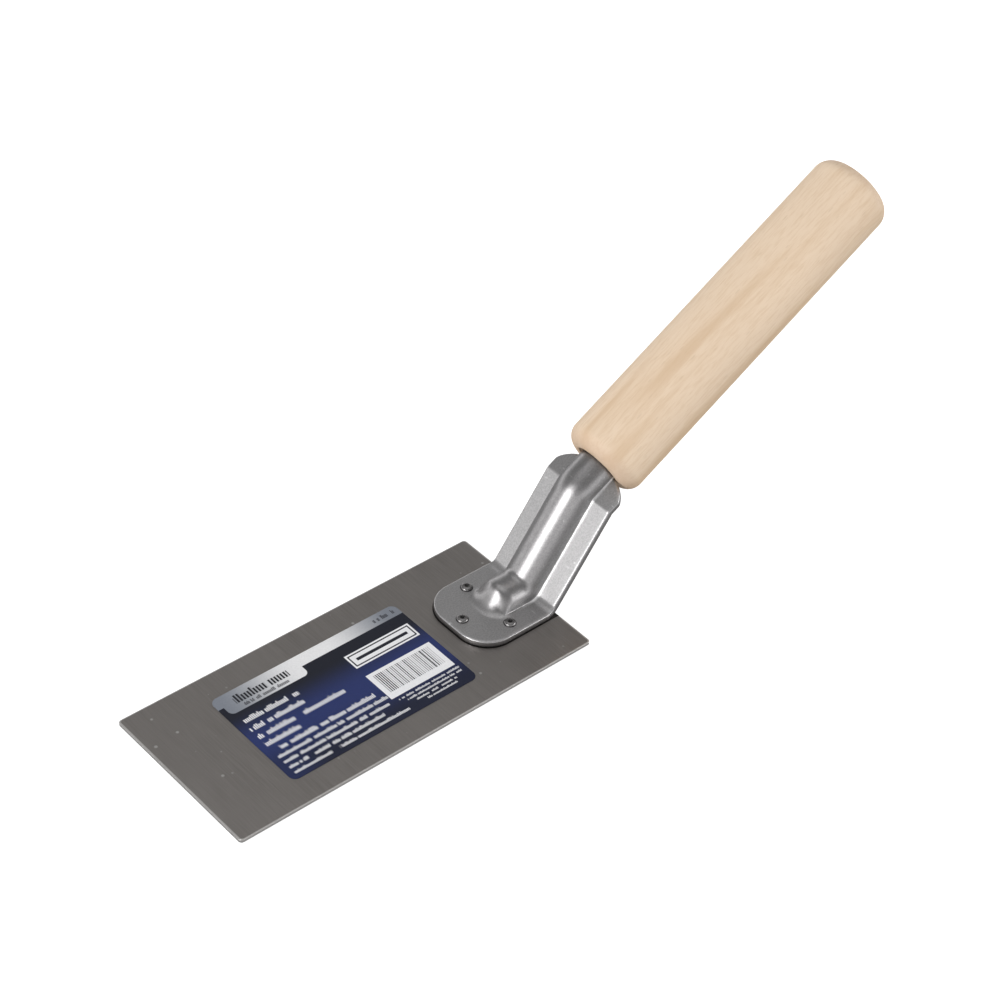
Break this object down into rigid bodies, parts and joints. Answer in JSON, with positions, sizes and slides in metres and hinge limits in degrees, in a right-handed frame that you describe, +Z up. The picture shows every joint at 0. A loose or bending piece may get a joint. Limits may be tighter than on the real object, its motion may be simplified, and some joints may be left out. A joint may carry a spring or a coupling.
{
  "type": "margin trowel",
  "caption": "Margin trowel: narrow flat rectangular steel blade, riveted stamped shank with a half-round rib, plain round wooden handle.",
  "frame": {"origin": "middle of the blade's underside", "axes": "+X from the blade's toe towards the handle, +Y to the left of the blade, +Z up out of the blade's upper face"},
  "size_m": [0.2307, 0.0508, 0.0952],
  "materials": {
    "blade_steel": "cross-ground satin",
    "shank_steel": "stamped satin",
    "rivet_steel": "upset, semi-bright",
    "pale_wood": "turned, unvarnished",
    "label_film": "printed film"
  },
  "bodies": {
    "root": {"blade": "blade_steel", "shank": "shank_steel", "rivet_front": "rivet_steel", "rivet_left": "rivet_steel", "rivet_right": "rivet_steel", "handle": "pale_wood", "label": "label_film"}
  },
  "joints": []
}
